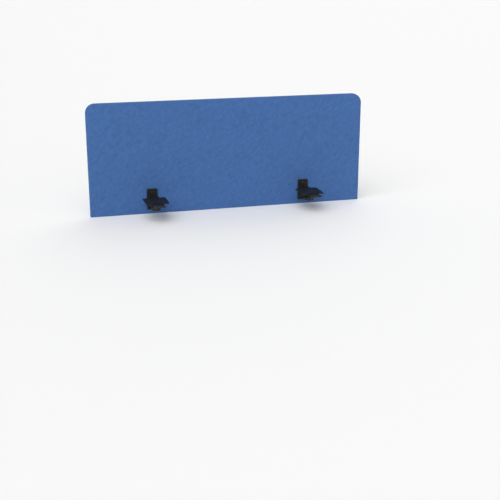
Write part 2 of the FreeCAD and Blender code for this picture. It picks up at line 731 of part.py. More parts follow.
def make_star_knob(side):
    """Lobed hand knob moulded round the stud's lower end."""
    body = side_body("star_knob", side)
    bind(body, "Placement.Base.y", BASE_MIDDLE)
    disc = level_sketch(body, "disc", KNOB_TOP)
    circle(disc, "0", "0", "knob_diameter")
    pad(body, disc, "knob_height", along_normal=False)
    scallop = level_sketch(body, "scallop", KNOB_TOP)
    circle(scallop, "knob_scallop_circle / 2", "0", "2 * knob_scallop_radius")
    hollow = pocket(body, scallop, "knob_height", along_normal=False)
    lobes = body.newObject("PartDesign::PolarPattern", f"{body.Name}_lobes")
    lobes.Originals = [hollow]
    lobes.Axis = (next(f for f in body.Origin.OriginFeatures if f.Role == "Z_Axis"), [""])
    lobes.Angle = 360
    lobes.Occurrences = KNOB_LOBES
    body.Tip = lobes
    doc.recompute()
    faces = (value_of(KNOB_TOP), value_of(f"{KNOB_TOP} - knob_height"))
    dress(body, "Fillet", lobes, "knob_edge", lambda e: any(near(middle_of(e).z, z) for z in faces))
    hub = level_sketch(body, "hub", KNOB_TOP)
    circle(hub, "0", "0", "knob_hub_diameter")
    pad(body, hub, "knob_hub_height")
    bore = level_sketch(body, "stud_bore", HUB_TOP)
    circle(bore, "0", "0", "stud_diameter")
    pocket(body, bore, "knob_hub_height + knob_height / 2", along_normal=False)


def export_nodes():
    doc.recompute()
    for thing in doc.Objects:
        check(thing)
    os.makedirs("parts", exist_ok=True)
    for node in nodes:
        shape = node.Shape
        if shape.isNull() or not shape.isValid() or not shape.Solids:
            raise RuntimeError(f"{node.Label} has no valid solid")
        shape.exportStep(f"parts/{node.Label}.step")
        print(f"{node.Label}: {len(shape.Solids)} solid(s), {shape.Volume / 1000:.2f} cm3")


make_core_board()
make_foam()
make_fabric()
make_closing_strip()
make_closing_screws()
for side_name in SIDES:
    make_bracket(side_name)
    make_bolt_set(side_name)
    make_end_cap(side_name)
    make_top_plate(side_name)
    make_receiver(side_name)
    make_weld_nut(side_name)
    make_clamp_shoe(side_name)
    make_clamp_stud(side_name)
    make_star_knob(side_name)
export_nodes()
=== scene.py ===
import json
import math

import bmesh
import bpy
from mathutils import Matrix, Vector, noise


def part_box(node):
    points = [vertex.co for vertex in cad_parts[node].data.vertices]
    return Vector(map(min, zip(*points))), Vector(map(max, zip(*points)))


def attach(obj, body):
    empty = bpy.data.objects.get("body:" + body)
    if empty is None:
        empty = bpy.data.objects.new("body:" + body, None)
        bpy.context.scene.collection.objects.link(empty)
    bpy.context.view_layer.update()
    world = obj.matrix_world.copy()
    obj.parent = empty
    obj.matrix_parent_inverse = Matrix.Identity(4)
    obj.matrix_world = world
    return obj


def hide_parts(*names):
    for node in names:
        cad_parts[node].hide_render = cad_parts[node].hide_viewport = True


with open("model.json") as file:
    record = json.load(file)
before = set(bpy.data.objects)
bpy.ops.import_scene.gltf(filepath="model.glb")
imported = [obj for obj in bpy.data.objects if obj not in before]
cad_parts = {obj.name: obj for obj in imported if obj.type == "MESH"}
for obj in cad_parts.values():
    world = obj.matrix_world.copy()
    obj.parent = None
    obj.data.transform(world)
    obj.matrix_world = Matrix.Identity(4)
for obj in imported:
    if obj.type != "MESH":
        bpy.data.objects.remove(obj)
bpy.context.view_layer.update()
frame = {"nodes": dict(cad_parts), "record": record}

# Desk privacy panel. Lengths are in metres and angles in radians unless a comment says otherwise. The frame
# has X along the desk, +Y away from the person at it and +Z up.

MM = 0.001
QUARTER = math.pi / 2

# The camera
CAMERA_PLACE = (-0.9345, -3.8133, 0.9897)
CAMERA_PITCH = math.radians(17.686)  # down from level
CAMERA_YAW = math.radians(14.992)  # from +Y towards +X
CAMERA_LENS = 67.62  # millimetres, on a 36 mm sensor
SENSOR_WIDTH = 36.0

# The studio. A soft box has an azimuth from -Y towards +X, an elevation and a spread, in degrees, and a
# brightness.
WALL_LIGHT = 0.97  # near the horizon
SKY_LIGHT = 0.40  # above it
WALL_FADE = (0.16, 0.42)  # sines of the elevations between which one turns into the other
SOFT_BOXES = ((-35, 50, 42, 1.98), (150, 38, 36, 0.8))
FLOOR_HALF = 40.0
FLOOR_GAP = 0.1 * MM  # under the screen
FLOOR_COLOUR = (0.945, 0.945, 0.943, 1)
FLOOR_ROUGHNESS = 0.75

# The upholstery
CORNER_RADIUS = 40 * MM  # the screen's two top corners
FOOT_RADIUS = 4 * MM  # its two lower corners
ROLL = 3 * MM  # the cloth's bend over the padding's edge
TUCK = 1.1 * MM  # the cloth's bend into a seam
CLOTH = 0.9 * MM
SEAM_GAP = 0.1 * MM
GRID_STEP = 5 * MM
LEAST_STEPS = 3  # of the grid, from one of its fixed lines to the next
BEND_PARTS = 5  # steps round each bend
BAND_PARTS = 8  # steps across the edge strip
CROWN = 0.35 * MM  # the padding's swell in the middle of a face
CROWN_REACH = 26 * MM
WAVE = 0.12 * MM  # unevenness of the padding
WAVE_LENGTH = 160 * MM
PRESS_REACH = 14 * MM  # how far round a bracket the padding is held down
PUCKER = 0.35 * MM  # how far the seam draws the cloth in
PUCKER_LENGTH = 17 * MM
PUCKER_FALL = 4  # the larger, the nearer its seams the edge strip is drawn in
BAND_CROWN = 0.35 * MM
PAD_INSET = 1.2 * MM
PAD_ROUNDING = 2.0 * MM
PAD_CLEARANCE = 0.05 * MM
HOLE_BLOCK = 12 * MM  # half the square that a hole in a grid takes
HOLE_CLEARANCE = 0.3 * MM
LINE_WIDTH = 0.1 * MM  # a place this near a line is on it
STRIP_MARGIN = 1 * MM  # how far past the closing strip's end the edge strip's first grid line has to be

# Threads of the cloth
THREAD_PITCH = 0.85 * MM
THREAD_BLUNTNESS = 0.6  # exponent of a thread's section: the smaller, the flatter its top
THREAD_UNDER = 0.45  # height of a thread that passes under, as a share of one on top
TWILL_REPEAT = 4.0  # crossings after which the weave repeats
TWILL_UP = 1.5  # a warp thread is on top in the crossings numbered below this
TWILL_WANDER = 5.0  # crossings that the twill's steps wander by
TWILL_WANDER_SCALE = 0.23  # of the noise, in cycles a crossing
HAIR_SCALES = (9000, 1100)  # of the noise, across and along a thread
SHADE_SCALE = 45  # of the noise along a thread
DARK_YARN = (0.043, 0.120, 0.338, 1)
LIGHT_YARN = (0.074, 0.176, 0.430, 1)
HAIR_COLOUR = (0.140, 0.255, 0.510, 1)
HAIR_COVER = 0.5  # how far the lightest hairs hide the yarn
PAINTED_HOLLOW_SHADE, PAINTED_CREST_LIGHT = 0.55, 1.08  # painted shade between threads and painted light on top of them, as brightness
CLOTH_RELIEF = 0.22 * MM
HAIR_RELIEF = 0.22  # height of the hairs, as a share of a thread's
MOTTLE = 0.10  # lightest and darkest, as a share of the cloth's own brightness
MOTTLE_LEAN = -0.85
SMALL_PATCHES = (46, 82, 1)  # scales of the noise along and across the lean
BROAD_PATCHES = (9, 22, 1)
BROAD_SHARE = 0.4  # weight of the broad patches against the small ones

# Worn edges
WEAR_COSINES = (0.995, 0.93)  # of the turn of a rounded normal, where wear starts and where it is full
WEAR_SCALE = 90  # of the noise that breaks it up
WEAR_LEVELS = (0.62, 0.72)  # of that noise, where an edge starts to be worn and where it is fully worn

CLOUD_RANGE = (0.3, 0.7)  # nearly all values of a smooth noise

# The clamp screws
SCREW_PITCH = 1.25 * MM
SCREW_THREAD_DEPTH = 0.65 * MM
SCREW_STEEPNESS = 1.2  # of the thread's flanks: above 1, its crests and roots are flat
SCREW_TIP_LENGTH = 1.0 * MM
SCREW_TIP_RADIUS = 3.0 * MM
SCREW_RINGS_PER_TURN = 10
SCREW_SIDES = 36

# The star knobs
KNOB_LOBES = 6
KNOB_HOLLOW = 4.2 * MM  # depth of the finger hollows
KNOB_HOLLOW_SHARPNESS = 1.35  # above 1, lobes are broader than hollows
KNOB_HUB_RADIUS = 9 * MM
KNOB_HUB_HEIGHT = 4 * MM
KNOB_BORE_DEPTH = 12 * MM
KNOB_TOP_ROUNDING = 3 * MM
KNOB_LOWER_ROUNDING = 4.5 * MM
KNOB_TAPER = 0.35 * MM
KNOB_PARTING = 0.14 * MM  # ridge that the mould's joint leaves
KNOB_DISH = 0.7 * MM  # how far the lower face rises from its middle to its rim
KNOB_CAP_RADIUS = 8.5 * MM  # round cap in the lower face
KNOB_GROOVE = 0.45 * MM  # its width and depth
KNOB_BEND_PARTS = 6
KNOB_SIDES = 168

# The weld beads
BEAD_RADIUS = 2.6 * MM
BEAD_RIPPLE = 0.16 * MM
BEAD_PITCH = 2.1 * MM
BEAD_STEP = 0.35 * MM
BEAD_SIDES = 8
BEAD_CURVE = 0.35  # ripples by which a ripple's middle runs ahead of its ends
BEAD_DRIFT = 0.4  # ripples by which they stray from their pitch
BEAD_DRIFT_LENGTH = 3  # ripples
BEAD_TIP = 0.05  # radius of the bead's very end, as a share
BEAD_END = 2 * MM  # from the arm's side to the bead's end
ARM_HALF = 2 * MM  # half the arm's thickness
GUSSET_HALF = 2.2 * MM  # half the gusset's thickness, and a gap

SIDES = ("left", "right")

face_low, face_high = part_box("fabric_front")
HALF_WIDTH = face_high.x
BOTTOM = face_low.z
TOP = face_high.z
FRONT = face_low.y
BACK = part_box("fabric_back")[1].y


# Material helpers


def new_material(name):
    """A material, its node tree and its shader."""
    material = bpy.data.materials.new(name)
    material.use_nodes = True
    return material, material.node_tree, material.node_tree.nodes["Principled BSDF"]


def add(tree, kind, inputs=None, **settings):
    """Adds a node. Each input is a value, or a socket to link from."""
    node = tree.nodes.new(kind)
    for name, value in settings.items():
        setattr(node, name, value)
    for key, value in (inputs or {}).items():
        if isinstance(value, bpy.types.NodeSocket):
            tree.links.new(value, node.inputs[key])
        else:
            node.inputs[key].default_value = value
    return node


def calculate(tree, operation, *values):
    """The result of a Math node."""
    return add(tree, "ShaderNodeMath", dict(enumerate(values)), operation=operation).outputs[0]


def blend_values(tree, share, first, second):
    """first where share is 0, second where it is 1."""
    inputs = {"Factor": share, "A": first, "B": second}
    return add(tree, "ShaderNodeMix", inputs, data_type="FLOAT").outputs["Result"]


def blend_colours(tree, share, first, second):
    """first where share is 0, second where it is 1."""
    inputs = {0: share, 6: first, 7: second}
    return add(tree, "ShaderNodeMix", inputs, data_type="RGBA").outputs[2]


def stretch(tree, value, low, high, to_low=0.0, to_high=1.0, smoothly=False):
    """A value moved from one range to another, and kept inside it."""
    inputs = {"Value": value, "From Min": low, "From Max": high, "To Min": to_low, "To Max": to_high}
    kind = "SMOOTHSTEP" if smoothly else "LINEAR"
    return add(tree, "ShaderNodeMapRange", inputs, clamp=True, interpolation_type=kind).outputs["Result"]


def place_of(tree):
    """Where a point is on its piece, in metres."""
    return tree.nodes.new("ShaderNodeTexCoord").outputs["Object"]


def scaled(tree, vector, scale, turn=0.0):
    """A vector turned about its third axis, then scaled along each axis."""
    turned = add(tree, "ShaderNodeMapping", {"Vector": vector, "Rotation": (0, 0, turn)}).outputs["Vector"]
    return add(tree, "ShaderNodeMapping", {"Vector": turned, "Scale": scale}).outputs["Vector"]


def cloudy(tree, vector, scale, detail=2.0, roughness=0.5):
    """Smooth noise from 0 to 1, with the scale in cycles per unit of the vector."""
    inputs = {"Vector": vector, "Scale": scale, "Detail": detail, "Roughness": roughness}
    return add(tree, "ShaderNodeTexNoise", inputs).outputs["Fac"]


def streaky(tree, vector, scales, detail=2.0, roughness=0.5, turn=0.0):
    """Smooth noise from 0 to 1 with its own scale along each axis, once turned about the third."""
    return cloudy(tree, scaled(tree, vector, scales, turn), 1.0, detail, roughness)


def dimmed(tree, colour, share):
    """A colour times a share."""
    return add(tree, "ShaderNodeVectorMath", {0: colour, "Scale": share}, operation="SCALE").outputs["Vector"]


def dot_product(tree, first, second):
    """The dot product of two vectors."""
    return add(tree, "ShaderNodeVectorMath", {0: first, 1: second}, operation="DOT_PRODUCT").outputs["Value"]


def vary_roughness(tree, shader, cloud, low, high):
    """Roughness from low to high, as a smooth noise goes through its values."""
    tree.links.new(stretch(tree, cloud, *CLOUD_RANGE, low, high), shader.inputs["Roughness"])


def raise_surface(tree, shader, height, distance, strength=1.0):
    """Bump of a height from 0 to 1, scaled to a distance."""
    inputs = {"Height": height, "Distance": distance, "Strength": strength}
    tree.links.new(add(tree, "ShaderNodeBump", inputs).outputs["Normal"], shader.inputs["Normal"])


def edge_wear(tree, radius, amount):
    """1 on worn spots of the sharp edges, from how far a rounded normal turns from the true one."""
    rounded_normal = add(tree, "ShaderNodeBevel", {"Radius": radius}, samples=4).outputs["Normal"]
    true_normal = tree.nodes.new("ShaderNodeNewGeometry").outputs["Normal"]
    edge = stretch(tree, dot_product(tree, rounded_normal, true_normal), *WEAR_COSINES)
    start, full = (level - amount for level in WEAR_LEVELS)
    patches = stretch(tree, cloudy(tree, place_of(tree), WEAR_SCALE, detail=5), start, full)
    return calculate(tree, "MULTIPLY", edge, patches)


# Stage


def make_camera():
    """The photograph's camera."""
    data = bpy.data.cameras.new("camera")
    data.sensor_width = SENSOR_WIDTH
    data.lens = CAMERA_LENS
    camera = bpy.data.objects.new("camera", data)
    camera.location = CAMERA_PLACE
    camera.rotation_euler = (QUARTER - CAMERA_PITCH, 0, -CAMERA_YAW)
    bpy.context.scene.collection.objects.link(camera)
    bpy.context.scene.camera = camera


def soft_box(tree, direction, azimuth, elevation, spread, brightness):
    """The light of a round soft box, which is full to half its spread and fades out to all of it."""
    turn, rise = math.radians(azimuth), math.radians(elevation)
    towards = (math.sin(turn) * math.cos(rise), -math.cos(turn) * math.cos(rise), math.sin(rise))
    nearness = dot_product(tree, direction, towards)
    fade, full = math.cos(math.radians(spread)), math.cos(math.radians(spread / 2))
    return stretch(tree, nearness, fade, full, 0.0, brightness, smoothly=True)


def make_lights():
    """A white studio: a wall of light at the horizon, dimmer above it, and two soft boxes."""
    world = bpy.data.worlds.new("studio")
    world.use_nodes = True
    tree = world.node_tree
    direction = tree.nodes.new("ShaderNodeTexCoord").outputs["Generated"]
    height = add(tree, "ShaderNodeSeparateXYZ", {"Vector": direction}).outputs["Z"]
    total = stretch(tree, height, *WALL_FADE, WALL_LIGHT, SKY_LIGHT, smoothly=True)
    for box in SOFT_BOXES:
        total = calculate(tree, "ADD", total, soft_box(tree, direction, *box))
    tree.links.new(total, tree.nodes["Background"].inputs["Strength"])
    tree.nodes["Background"].inputs["Color"].default_value = (1, 1, 1, 1)
    bpy.context.scene.world = world


def make_floor():
    """A pale floor just under the screen."""
    signs = ((-1, -1), (1, -1), (1, 1), (-1, 1))
    corners = [(FLOOR_HALF * x, FLOOR_HALF * y, 0) for x, y in signs]
    mesh = bpy.data.meshes.new("floor")
    mesh.from_pydata(corners, [], [(0, 1, 2, 3)])
    floor = bpy.data.objects.new("floor", mesh)
    floor.location.z = BOTTOM - FLOOR_GAP
    bpy.context.scene.collection.objects.link(floor)
    material, tree, shader = new_material("floor")
    shader.inputs["Base Color"].default_value = FLOOR_COLOUR
    shader.inputs["Roughness"].default_value = FLOOR_ROUGHNESS
    mesh.materials.append(material)


# Materials


def cloth_material():
    """Blue worsted in a broken twill, with threads of near blues, fine hairs, a soft leaning mottle, and
    painted shade between the threads and painted light on them.
    """
    material, tree, shader = new_material("blue_cloth")
    threads = add(tree, "ShaderNodeUVMap", uv_map="threads").outputs["UV"]
    split = add(tree, "ShaderNodeSeparateXYZ", {"Vector": threads})
    across = calculate(tree, "DIVIDE", split.outputs["X"], THREAD_PITCH)
    along = calculate(tree, "DIVIDE", split.outputs["Y"], THREAD_PITCH)
    column = calculate(tree, "FLOOR", across)
    row = calculate(tree, "FLOOR", along)

    # A warp thread is on top in two crossings of four, and the step from row to row breaks up at random.
    cell = add(tree, "ShaderNodeCombineXYZ", {"X": column, "Y": row}).outputs["Vector"]
    wander = calculate(tree, "MULTIPLY", cloudy(tree, cell, TWILL_WANDER_SCALE), TWILL_WANDER)
    steps = calculate(tree, "SUBTRACT", column, row)
    diagonal = calculate(tree, "ADD", steps, calculate(tree, "ROUND", wander))
    crossing = calculate(tree, "FLOORED_MODULO", diagonal, TWILL_REPEAT)
    warp_up = calculate(tree, "LESS_THAN", crossing, TWILL_UP)

    def half_round(position):
        """A thread's section."""
        wave = calculate(tree, "SINE", calculate(tree, "MULTIPLY", position, math.pi))
        return calculate(tree, "POWER", calculate(tree, "ABSOLUTE", wave), THREAD_BLUNTNESS)

    # Each thread is high where it passes over and low where it passes under.
    warp_level = blend_values(tree, warp_up, THREAD_UNDER, 1.0)
    weft_level = blend_values(tree, warp_up, 1.0, THREAD_UNDER)
    warp_height = calculate(tree, "MULTIPLY", half_round(across), warp_level)
    weft_height = calculate(tree, "MULTIPLY", half_round(along), weft_level)
    height = calculate(tree, "MAXIMUM", warp_height, weft_height)

    # Hairs run along the thread that is on top.
    warp_hairs = streaky(tree, threads, (*HAIR_SCALES, 1), detail=3)
    weft_hairs = streaky(tree, threads, (*reversed(HAIR_SCALES), 1), detail=3)
    hairs = blend_values(tree, warp_up, weft_hairs, warp_hairs)

    # The yarn is a blend of near blues, each thread with its own light and dark stretches.
    warp_shade = streaky(tree, threads, (1 / THREAD_PITCH, SHADE_SCALE, 1), detail=3)
    weft_shade = streaky(tree, threads, (SHADE_SCALE, 1 / THREAD_PITCH, 1), detail=3)
    shade = blend_values(tree, warp_up, weft_shade, warp_shade)
    yarn = blend_colours(tree, stretch(tree, shade, *CLOUD_RANGE), DARK_YARN, LIGHT_YARN)
    yarn = blend_colours(tree, stretch(tree, hairs, 0.55, 0.8, 0, HAIR_COVER), yarn, HAIR_COLOUR)

    def patches(scales, detail):
        """Leaning patches, from -1 to 1."""
        return stretch(tree, streaky(tree, threads, scales, detail, turn=MOTTLE_LEAN), 0.2, 0.8, -1, 1)

    # A soft mottle leans with the twill, and painted shade makes the hollows between threads darker.
    small, broad = patches(SMALL_PATCHES, 1), patches(BROAD_PATCHES, 2)
    mottle = calculate(tree, "MULTIPLY_ADD", broad, BROAD_SHARE, small)
    # Painted shade and light: the colour is darker in the hollows between threads and lighter on their
    # crests.
    depth = stretch(tree, height, 0.35, 0.95, PAINTED_HOLLOW_SHADE, PAINTED_CREST_LIGHT)
    light = calculate(tree, "MULTIPLY_ADD", mottle, MOTTLE, depth)
    tree.links.new(dimmed(tree, yarn, light), shader.inputs["Base Color"])
    tree.links.new(stretch(tree, height, 0.4, 1.0, 0.96, 0.82), shader.inputs["Roughness"])
    shader.inputs["Specular IOR Level"].default_value = 0.25
    shader.inputs["Sheen Weight"].default_value = 0.12
    shader.inputs["Sheen Roughness"].default_value = 0.45
    shader.inputs["Sheen Tint"].default_value = (0.55, 0.70, 1.0, 1)
    raised = calculate(tree, "MULTIPLY_ADD", hairs, HAIR_RELIEF, height)
    raise_surface(tree, shader, raised, CLOTH_RELIEF, 0.8)
    return material


def foam_material():
    """Grey open-cell foam: small round cells, with painted shade that darkens the colour along the cells'
    pattern for their pits.
    """
    material, tree, shader = new_material("grey_foam")
    place = place_of(tree)
    cells = add(tree, "ShaderNodeTexVoronoi", {"Vector": place, "Scale": 1100.0}).outputs["Distance"]
    clouds = cloudy(tree, place, 60, detail=4)
    # Painted shade: the colour darkens with the cells' pattern, standing in for the dark of the pits.
    tone = calculate(tree, "MULTIPLY_ADD", clouds, 0.4, calculate(tree, "MULTIPLY", cells, 0.7))
    colour = blend_colours(tree, tone, (0.24, 0.24, 0.23, 1), (0.13, 0.13, 0.125, 1))
    tree.links.new(colour, shader.inputs["Base Color"])
    shader.inputs["Roughness"].default_value = 0.95
    raise_surface(tree, shader, cells, 0.3 * MM)
    return material


def board_material():
    """Fibreboard: short brown fibres pressed flat, with darker specks."""
    material, tree, shader = new_material("fibreboard")
    place = place_of(tree)
    fibres = streaky(tree, place, (260, 900, 900), detail=6, roughness=0.7)
    specks = stretch(tree, cloudy(tree, place, 700, detail=2), 0.66, 0.74)
    colour = blend_colours(tree, fibres, (0.50, 0.33, 0.18, 1), (0.36, 0.225, 0.115, 1))
    colour = blend_colours(tree, specks, colour, (0.16, 0.09, 0.045, 1))
    tree.links.new(colour, shader.inputs["Base Color"])
    shader.inputs["Roughness"].default_value = 0.8
    raise_surface(tree, shader, fibres, 0.12 * MM)
    return material


def powder_coat_material():
    """Black powder coat: fine pebbled texture, satin, rubbed to grey on a few edges, with painted light on
    the pebbles and painted shade between them.
    """
    material, tree, shader = new_material("black_powder_coat")
    place = place_of(tree)
    inputs = {"Vector": place, "Scale": 1700.0}
    pebbles = add(tree, "ShaderNodeTexVoronoi", inputs, feature="SMOOTH_F1").outputs["Distance"]
    flow = cloudy(tree, place, 800, detail=2)
    height = calculate(tree, "MULTIPLY_ADD", pebbles, -1.0, flow)
    tone = cloudy(tree, place, 35, detail=4)
    colour = blend_colours(tree, tone, (0.0060, 0.0060, 0.0065, 1), (0.0105, 0.0105, 0.0110, 1))
    # Painted light and shade: the colour is lighter on the pebbles' tops and darker between them.
    colour = dimmed(tree, colour, stretch(tree, pebbles, 0.1, 0.7, 1.35, 0.6))
    worn = edge_wear(tree, 0.5 * MM, 0.03)
    colour = blend_colours(tree, worn, colour, (0.10, 0.10, 0.105, 1))
    tree.links.new(colour, shader.inputs["Base Color"])
    vary_roughness(tree, shader, cloudy(tree, place, 28, detail=5), 0.46, 0.60)
    shader.inputs["Specular IOR Level"].default_value = 0.32
    raise_surface(tree, shader, height, 0.13 * MM, 0.85)
    return material


def black_oxide_material():
    """Black oxide on turned steel: smoother and darker than the powder coat, with faint turning marks."""
    material, tree, shader = new_material("black_oxide")
    place = place_of(tree)
    marks = streaky(tree, place, (900, 6000, 900), detail=3)
    tone = cloudy(tree, place, 220, detail=4)
    colour = blend_colours(tree, tone, (0.020, 0.020, 0.022, 1), (0.050, 0.048, 0.047, 1))
    colour = blend_colours(tree, edge_wear(tree, 0.35 * MM, 0.06), colour, (0.22, 0.21, 0.20, 1))
    tree.links.new(colour, shader.inputs["Base Color"])
    shader.inputs["Metallic"].default_value = 0.75
    vary_roughness(tree, shader, tone, 0.30, 0.44)
    raise_surface(tree, shader, marks, 0.02 * MM, 0.5)
    return material


def zinc_material():
    """Bright zinc plate: pale grey with a faint blue and straw tint and small cloudy spangles."""
    material, tree, shader = new_material("zinc_plate")
    place = place_of(tree)
    spangles = add(tree, "ShaderNodeTexVoronoi", {"Vector": place, "Scale": 420.0}).outputs["Color"]
    grain = add(tree, "ShaderNodeSeparateXYZ", {"Vector": spangles}).outputs["X"]
    tint = cloudy(tree, place, 70, detail=3)
    colour = blend_colours(tree, tint, (0.52, 0.55, 0.60, 1), (0.62, 0.60, 0.54, 1))
    colour = blend_colours(tree, grain, colour, dimmed(tree, colour, 0.82))
    tree.links.new(colour, shader.inputs["Base Color"])
    shader.inputs["Metallic"].default_value = 1.0
    vary_roughness(tree, shader, cloudy(tree, place, 260, detail=4), 0.26, 0.42)
    raise_surface(tree, shader, cloudy(tree, place, 900, detail=4), 0.03 * MM, 0.6)
    return material


def brass_material():
    """Turned brass with fine rings and a slight tarnish."""
    material, tree, shader = new_material("turned_brass")
    place = place_of(tree)
    rings = streaky(tree, place, (300, 5200, 300), detail=2)
    tarnish = cloudy(tree, place, 240, detail=5)
    colour = blend_colours(tree, tarnish, (0.66, 0.45, 0.17, 1), (0.42, 0.27, 0.10, 1))
    tree.links.new(colour, shader.inputs["Base Color"])
    shader.inputs["Metallic"].default_value = 1.0
    vary_roughness(tree, shader, tarnish, 0.24, 0.42)
    raise_surface(tree, shader, rings, 0.04 * MM, 0.6)
    return material


def plastic_material():
    """Black moulded plastic with a spark-eroded grain, handled smooth in patches."""
    material, tree, shader = new_material("black_plastic")
    place = place_of(tree)
    grain = cloudy(tree, place, 1900, detail=3, roughness=0.6)
    handled = cloudy(tree, place, 55, detail=3)
    colour = blend_colours(tree, handled, (0.0105, 0.0105, 0.0110, 1), (0.0170, 0.0170, 0.0175, 1))
    colour = blend_colours(tree, edge_wear(tree, 0.6 * MM, 0.0), colour, (0.045, 0.045, 0.047, 1))
    tree.links.new(colour, shader.inputs["Base Color"])
    vary_roughness(tree, shader, handled, 0.56, 0.38)
    shader.inputs["Specular IOR Level"].default_value = 0.4
    raise_surface(tree, shader, grain, 0.10 * MM, 0.8)
    return material


# Mesh helpers


class Surface:
    """The points, faces and thread coordinates of a piece while it is put together."""

    def __init__(self):
        self.points = []
        self.threads = []
        self.faces = []

    def point(self, place, thread=(0.0, 0.0)):
        """Adds a point and returns its number."""
        self.points.append(place)
        self.threads.append(thread)
        return len(self.points) - 1

    def band(self, outer, inner, closed=False):
        """Faces between two rows with as many points each. They face whoever sees outer run to the right and
        inner above it."""
        for index in range(len(outer) if closed else len(outer) - 1):
            after = (index + 1) % len(outer)
            self.faces.append((outer[index], outer[after], inner[after], inner[index]))

    def tube(self, rows):
        """Faces from each closed row to the next."""
        for before, after in zip(rows, rows[1:]):
            self.band(before, after, closed=True)

    def flip(self):
        """Turns every face to look the other way."""
        self.faces = [face[::-1] for face in self.faces]

    def piece(self, name, body, material, closed=False):
        """The Blender object, riding on a CAD body."""
        mesh = bpy.data.meshes.new(name)
        mesh.from_pydata(self.points, [], self.faces)
        threads = mesh.uv_layers.new(name="threads")
        for loop in mesh.loops:
            threads.data[loop.index].uv = self.threads[loop.vertex_index]
        if closed:
            shell = bmesh.new()
            shell.from_mesh(mesh)
            bmesh.ops.recalc_face_normals(shell, faces=shell.faces)
            shell.to_mesh(mesh)
            shell.free()
        mesh.shade_smooth()
        mesh.materials.append(material)
        made = bpy.data.objects.new(name, mesh)
        bpy.context.scene.collection.objects.link(made)
        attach(made, body)
        return made


def smooth(share):
    """0 below 0, 1 above 1, and a smooth step between."""
    share = min(max(share, 0.0), 1.0)
    return share * share * (3 - 2 * share)


def quarter_turn(parts):
    """Angles in equal steps from the first after 0 to a quarter of a turn."""
    return [QUARTER * step / parts for step in range(1, parts + 1)]


def lines(stops):
    """Grid lines through every stop, at most a grid step apart."""
    places = [stops[0]]
    for start, end in zip(stops, stops[1:]):
        count = max(LEAST_STEPS, math.ceil((end - start) / GRID_STEP))
        places += [start + (end - start) * step / count for step in range(1, count + 1)]
    return places


def around(left, right, low, high):
    """Grid addresses round a rectangle of the grid: right along its lower side first, then up."""
    return (
        [(i, low) for i in range(left, right)]
        + [(right, j) for j in range(low, high)]
        + [(i, high) for i in range(right, left, -1)]
        + [(left, j) for j in range(high, low, -1)]
    )


def ring(surface, centre, z, sides, radius_at):
    """A closed row of points round an upright line, their radius a function of their angle."""
    row = []
    for step in range(sides):
        angle = 2 * math.pi * step / sides
        radius = radius_at(angle)
        place = (centre.x + radius * math.cos(angle), centre.y + radius * math.sin(angle), z)
        row.append(surface.point(Vector(place)))
    return row


# The screen


def bolt_holes():
    """X, Z and radius of the spacer bushes, from the frame."""
    holes = []
    for side in SIDES:
        low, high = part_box(f"spacer_bushes_{side}")
        radius = (high.x - low.x) / 2
        holes += [((low.x + high.x) / 2, z, radius) for z in (low.z + radius, high.z - radius)]
    return holes


BOLT_HOLES = bolt_holes()
PLATES = [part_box(f"bracket_{side}") for side in SIDES]


def grid_lines(inset):
    """X and Z of the lines of a face's grid, whose outline is set in from the screen's own."""
    half = HALF_WIDTH - inset
    foot, corner = FOOT_RADIUS - inset, CORNER_RADIUS - inset
    bolt_x = max(x for x, z, radius in BOLT_HOLES)
    right = [bolt_x - HOLE_BLOCK, bolt_x + HOLE_BLOCK, half - corner, half - foot, half]
    across = [-x for x in reversed(right)] + right
    levels = sorted({round(z, 6) for x, z, radius in BOLT_HOLES})
    blocks = [z + step for z in levels for step in (-HOLE_BLOCK, HOLE_BLOCK)]
    upright = [BOTTOM + inset, BOTTOM + inset + foot, *blocks, TOP - inset - corner, TOP - inset]
    return lines(across), lines(upright)


def in_outline(x, z, inset):
    """A place of the square grid moved into the outline's rounded corners, with its way out of the screen."""
    half = HALF_WIDTH - inset
    side = math.copysign(1, x)
    if z > (BOTTOM + TOP) / 2:
        up, end, radius = 1, TOP - inset, CORNER_RADIUS - inset
    else:
        up, end, radius = -1, BOTTOM + inset, FOOT_RADIUS - inset
    u = (abs(x) - half) / radius + 1
    v = up * (z - end) / radius + 1
    if u <= 0 or v <= 0:
        way = (side, 0.0) if u > v else (0.0, up)
        return x, z, way
    a = u * math.sqrt(1 - v * v / 2)
    b = v * math.sqrt(1 - u * u / 2)
    return side * (half + (a - 1) * radius), end + up * (b - 1) * radius, (side * a, up * b)


def swell(x, z, plates):
    """How far the padding pushes the cloth out at a place on a face."""
    edge = min(HALF_WIDTH - abs(x), z - BOTTOM, TOP - z)
    rise = CROWN + WAVE * noise.noise(Vector((x, z, 0)) / WAVE_LENGTH)
    rise *= smooth(edge / CROWN_REACH)
    for low, high in plates:
        outside = math.hypot(max(low.x - x, x - high.x, 0), max(low.z - z, z - high.z, 0))
        rise *= smooth(outside / PRESS_REACH)
    return rise


